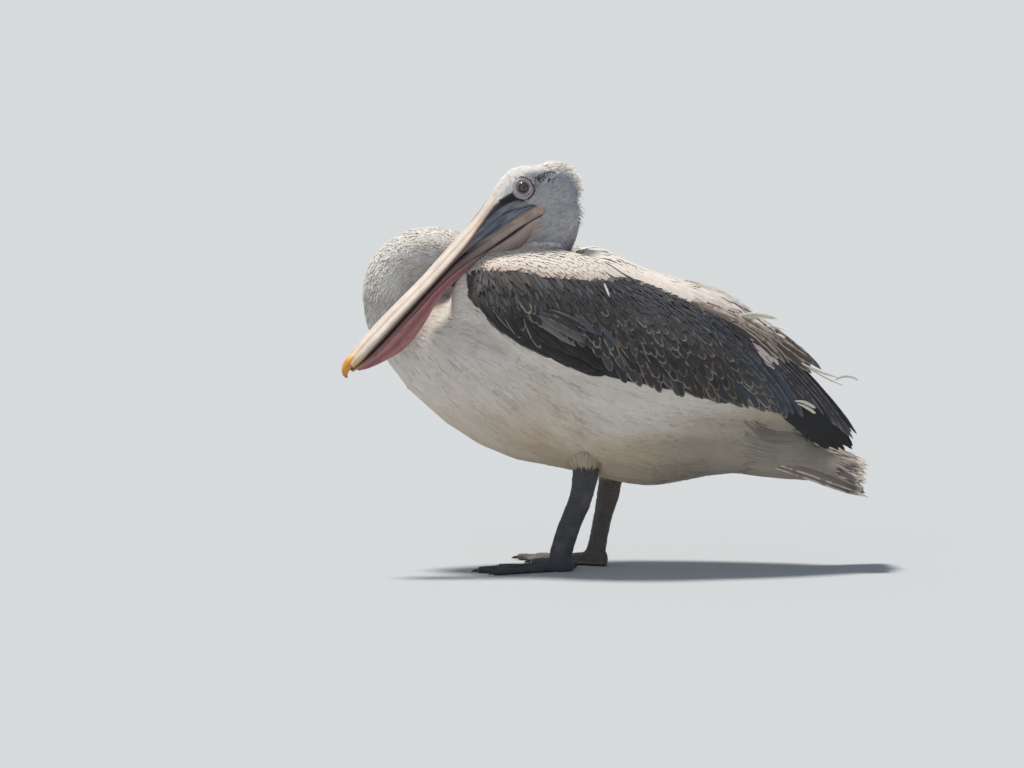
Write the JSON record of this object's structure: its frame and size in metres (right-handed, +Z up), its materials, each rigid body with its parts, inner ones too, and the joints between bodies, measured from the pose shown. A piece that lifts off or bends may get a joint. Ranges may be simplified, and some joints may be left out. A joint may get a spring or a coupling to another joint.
{
  "type": "dalmatian pelican",
  "caption": "Life-size standing Dalmatian pelican, not yet adult, with folded neck, closed wings and long bill laid down past its shoulder.",
  "frame": {"origin": "on the floor, under the middle of the whole bird's box", "axes": "+X towards the tail, the bird facing -X; +Y towards the bird's right side; +Z up"},
  "size_m": [0.8662, 0.3216, 0.6673],
  "materials": {
    "plumage_white": "soft overlapping feathers, off-white to buff",
    "plumage_head": "short fine feathers, white with pale grey",
    "plumage_coverts": "grey-brown feathers with paler edges",
    "plumage_scapulars": "long pale brown-grey feathers",
    "plumage_flight": "blackish flight feathers with a low sheen",
    "plumage_tail": "pale grey-brown tail feathers with dark tips",
    "bill_horn": "smooth horn, cream above and grey-brown at the sides",
    "nail_horn": "smooth orange horn",
    "pouch_skin": "thin creased pink-grey skin",
    "leg_skin": "scaly dark slate-grey skin",
    "claw_horn": "dark horn",
    "eye": "wet gloss, dark brown"
  },
  "bodies": {
    "root": {"trunk": "plumage_white", "neck_base": "plumage_white", "neck_fold": "plumage_white", "neck_upper": "plumage_white", "head": "plumage_head", "eye_left": "eye", "eye_right": "eye", "bill_nail": "nail_horn", "bill_upper": "bill_horn", "bill_lower": "bill_horn", "pouch": "pouch_skin", "wing_left_arm": "plumage_coverts", "wing_left_secondaries": "plumage_coverts", "wing_left_primaries": "plumage_flight", "scapulars_left": "plumage_scapulars", "wing_right_arm": "plumage_coverts", "wing_right_secondaries": "plumage_coverts", "wing_right_primaries": "plumage_flight", "scapulars_right": "plumage_scapulars", "tail": "plumage_tail", "thigh_left": "plumage_white", "shank_left": "leg_skin", "foot_left": "leg_skin", "claw_left_1": "claw_horn", "claw_left_2": "claw_horn", "claw_left_3": "claw_horn", "claw_left_4": "claw_horn", "thigh_right": "plumage_white", "shank_right": "leg_skin", "foot_right": "leg_skin", "claw_right_1": "claw_horn", "claw_right_2": "claw_horn", "claw_right_3": "claw_horn", "claw_right_4": "claw_horn"}
  },
  "joints": []
}
